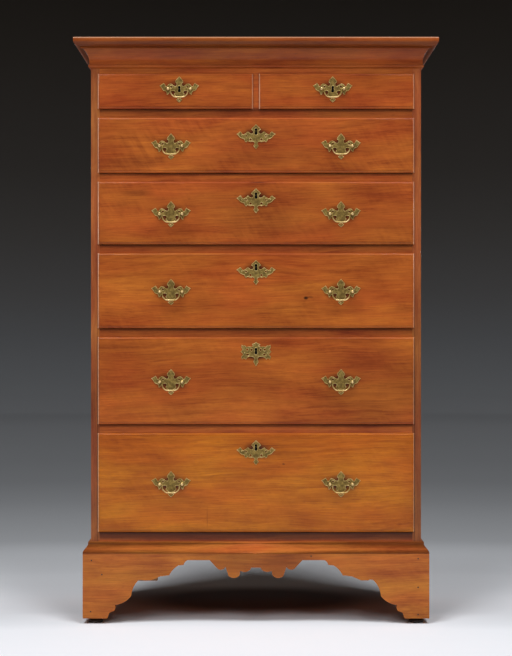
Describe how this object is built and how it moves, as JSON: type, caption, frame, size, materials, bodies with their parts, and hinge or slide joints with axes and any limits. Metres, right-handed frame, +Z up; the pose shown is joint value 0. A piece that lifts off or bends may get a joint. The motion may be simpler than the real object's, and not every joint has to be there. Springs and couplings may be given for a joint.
{
  "type": "tall chest of drawers",
  "caption": "Tall wooden chest of lipped, dovetailed drawers with pierced brass bail pulls, a coved cornice and a scrolled bracket base.",
  "frame": {"origin": "on the floor, midway across and midway between the cornice's front tip and the back", "axes": "+X to the right seen from the front, -Y out of the front, +Z up"},
  "size_m": [1.004, 0.495, 1.615],
  "materials": {
    "case_wood": "reddish orange-brown hardwood, waxed, soft sheen",
    "inner_wood": "unfinished pale softwood, dry",
    "aged_brass": "cast brass with olive patina and rubbed edges",
    "glide_iron": "dark painted iron"
  },
  "bodies": {
    "case": {"case_side_left": "case_wood", "case_side_right": "case_wood", "case_top": "case_wood", "case_bottom": "case_wood", "back_boards": "inner_wood", "top_rail": "case_wood", "drawer_rails": "case_wood", "short_drawer_divider": "case_wood", "drawer_runners": "inner_wood", "short_drawer_runner": "inner_wood", "cornice_front": "case_wood", "cornice_left": "case_wood", "cornice_right": "case_wood", "base_moulding": "case_wood", "base_front": "case_wood", "base_left": "case_wood", "base_right": "case_wood", "rear_foot_brackets": "inner_wood", "foot_blocks": "inner_wood", "foot_glides": "glide_iron"},
    "drawer_1_left": {"drawer_1_left_front": "case_wood", "drawer_1_left_box": "inner_wood", "drawer_1_left_brasses": "aged_brass"},
    "drawer_1_left_bail": {"drawer_1_left_bail": "aged_brass"},
    "drawer_1_left_lock_bolt": {"drawer_1_left_lock_bolt": "aged_brass"},
    "drawer_1_right": {"drawer_1_right_front": "case_wood", "drawer_1_right_box": "inner_wood", "drawer_1_right_brasses": "aged_brass"},
    "drawer_1_right_bail": {"drawer_1_right_bail": "aged_brass"},
    "drawer_1_right_lock_bolt": {"drawer_1_right_lock_bolt": "aged_brass"},
    "drawer_2": {"drawer_2_front": "case_wood", "drawer_2_box": "inner_wood", "drawer_2_brasses": "aged_brass"},
    "drawer_2_bail_left": {"drawer_2_bail_left": "aged_brass"},
    "drawer_2_bail_right": {"drawer_2_bail_right": "aged_brass"},
    "drawer_2_lock_bolt": {"drawer_2_lock_bolt": "aged_brass"},
    "drawer_3": {"drawer_3_front": "case_wood", "drawer_3_box": "inner_wood", "drawer_3_brasses": "aged_brass"},
    "drawer_3_bail_left": {"drawer_3_bail_left": "aged_brass"},
    "drawer_3_bail_right": {"drawer_3_bail_right": "aged_brass"},
    "drawer_3_lock_bolt": {"drawer_3_lock_bolt": "aged_brass"},
    "drawer_4": {"drawer_4_front": "case_wood", "drawer_4_box": "inner_wood", "drawer_4_brasses": "aged_brass"},
    "drawer_4_bail_left": {"drawer_4_bail_left": "aged_brass"},
    "drawer_4_bail_right": {"drawer_4_bail_right": "aged_brass"},
    "drawer_4_lock_bolt": {"drawer_4_lock_bolt": "aged_brass"},
    "drawer_5": {"drawer_5_front": "case_wood", "drawer_5_box": "inner_wood", "drawer_5_brasses": "aged_brass"},
    "drawer_5_bail_left": {"drawer_5_bail_left": "aged_brass"},
    "drawer_5_bail_right": {"drawer_5_bail_right": "aged_brass"},
    "drawer_5_lock_bolt": {"drawer_5_lock_bolt": "aged_brass"},
    "drawer_6": {"drawer_6_front": "case_wood", "drawer_6_box": "inner_wood", "drawer_6_brasses": "aged_brass"},
    "drawer_6_bail_left": {"drawer_6_bail_left": "aged_brass"},
    "drawer_6_bail_right": {"drawer_6_bail_right": "aged_brass"},
    "drawer_6_lock_bolt": {"drawer_6_lock_bolt": "aged_brass"}
  },
  "joints": [
    {"name": "drawer_1_left_slide", "type": "slide", "parent": "case", "child": "drawer_1_left", "axis": [0, -1, 0], "range_m": [0, 0.33]},
    {"name": "drawer_1_left_bail_hinge", "type": "hinge", "parent": "drawer_1_left", "child": "drawer_1_left_bail", "pos_m": [-0.212, -0.2245, 1.476], "axis": [-1, 0, 0], "range_deg": [-18, 165]},
    {"name": "drawer_1_left_lock_bolt_throw", "type": "slide", "parent": "drawer_1_left", "child": "drawer_1_left_lock_bolt", "axis": [0, 0, 1], "range_m": [0, 0.009]},
    {"name": "drawer_1_right_slide", "type": "slide", "parent": "case", "child": "drawer_1_right", "axis": [0, -1, 0], "range_m": [0, 0.33]},
    {"name": "drawer_1_right_bail_hinge", "type": "hinge", "parent": "drawer_1_right", "child": "drawer_1_right_bail", "pos_m": [0.212, -0.2245, 1.476], "axis": [-1, 0, 0], "range_deg": [-18, 165]},
    {"name": "drawer_1_right_lock_bolt_throw", "type": "slide", "parent": "drawer_1_right", "child": "drawer_1_right_lock_bolt", "axis": [0, 0, 1], "range_m": [0, 0.009]},
    {"name": "drawer_2_slide", "type": "slide", "parent": "case", "child": "drawer_2", "axis": [0, -1, 0], "range_m": [0, 0.33]},
    {"name": "drawer_2_bail_left_hinge", "type": "hinge", "parent": "drawer_2", "child": "drawer_2_bail_left", "pos_m": [-0.235, -0.2245, 1.3185], "axis": [-1, 0, 0], "range_deg": [-18, 165]},
    {"name": "drawer_2_bail_right_hinge", "type": "hinge", "parent": "drawer_2", "child": "drawer_2_bail_right", "pos_m": [0.235, -0.2245, 1.3185], "axis": [-1, 0, 0], "range_deg": [-18, 165]},
    {"name": "drawer_2_lock_bolt_throw", "type": "slide", "parent": "drawer_2", "child": "drawer_2_lock_bolt", "axis": [0, 0, 1], "range_m": [0, 0.009]},
    {"name": "drawer_3_slide", "type": "slide", "parent": "case", "child": "drawer_3", "axis": [0, -1, 0], "range_m": [0, 0.33]},
    {"name": "drawer_3_bail_left_hinge", "type": "hinge", "parent": "drawer_3", "child": "drawer_3_bail_left", "pos_m": [-0.235, -0.2245, 1.131], "axis": [-1, 0, 0], "range_deg": [-18, 165]},
    {"name": "drawer_3_bail_right_hinge", "type": "hinge", "parent": "drawer_3", "child": "drawer_3_bail_right", "pos_m": [0.235, -0.2245, 1.131], "axis": [-1, 0, 0], "range_deg": [-18, 165]},
    {"name": "drawer_3_lock_bolt_throw", "type": "slide", "parent": "drawer_3", "child": "drawer_3_lock_bolt", "axis": [0, 0, 1], "range_m": [0, 0.009]},
    {"name": "drawer_4_slide", "type": "slide", "parent": "case", "child": "drawer_4", "axis": [0, -1, 0], "range_m": [0, 0.33]},
    {"name": "drawer_4_bail_left_hinge", "type": "hinge", "parent": "drawer_4", "child": "drawer_4_bail_left", "pos_m": [-0.235, -0.2245, 0.916], "axis": [-1, 0, 0], "range_deg": [-18, 165]},
    {"name": "drawer_4_bail_right_hinge", "type": "hinge", "parent": "drawer_4", "child": "drawer_4_bail_right", "pos_m": [0.235, -0.2245, 0.916], "axis": [-1, 0, 0], "range_deg": [-18, 165]},
    {"name": "drawer_4_lock_bolt_throw", "type": "slide", "parent": "drawer_4", "child": "drawer_4_lock_bolt", "axis": [0, 0, 1], "range_m": [0, 0.009]},
    {"name": "drawer_5_slide", "type": "slide", "parent": "case", "child": "drawer_5", "axis": [0, -1, 0], "range_m": [0, 0.33]},
    {"name": "drawer_5_bail_left_hinge", "type": "hinge", "parent": "drawer_5", "child": "drawer_5_bail_left", "pos_m": [-0.235, -0.2245, 0.667], "axis": [-1, 0, 0], "range_deg": [-18, 165]},
    {"name": "drawer_5_bail_right_hinge", "type": "hinge", "parent": "drawer_5", "child": "drawer_5_bail_right", "pos_m": [0.235, -0.2245, 0.667], "axis": [-1, 0, 0], "range_deg": [-18, 165]},
    {"name": "drawer_5_lock_bolt_throw", "type": "slide", "parent": "drawer_5", "child": "drawer_5_lock_bolt", "axis": [0, 0, 1], "range_m": [0, 0.009]},
    {"name": "drawer_6_slide", "type": "slide", "parent": "case", "child": "drawer_6", "axis": [0, -1, 0], "range_m": [0, 0.33]},
    {"name": "drawer_6_bail_left_hinge", "type": "hinge", "parent": "drawer_6", "child": "drawer_6_bail_left", "pos_m": [-0.235, -0.2245, 0.385], "axis": [-1, 0, 0], "range_deg": [-18, 165]},
    {"name": "drawer_6_bail_right_hinge", "type": "hinge", "parent": "drawer_6", "child": "drawer_6_bail_right", "pos_m": [0.235, -0.2245, 0.385], "axis": [-1, 0, 0], "range_deg": [-18, 165]},
    {"name": "drawer_6_lock_bolt_throw", "type": "slide", "parent": "drawer_6", "child": "drawer_6_lock_bolt", "axis": [0, 0, 1], "range_m": [0, 0.009]}
  ]
}
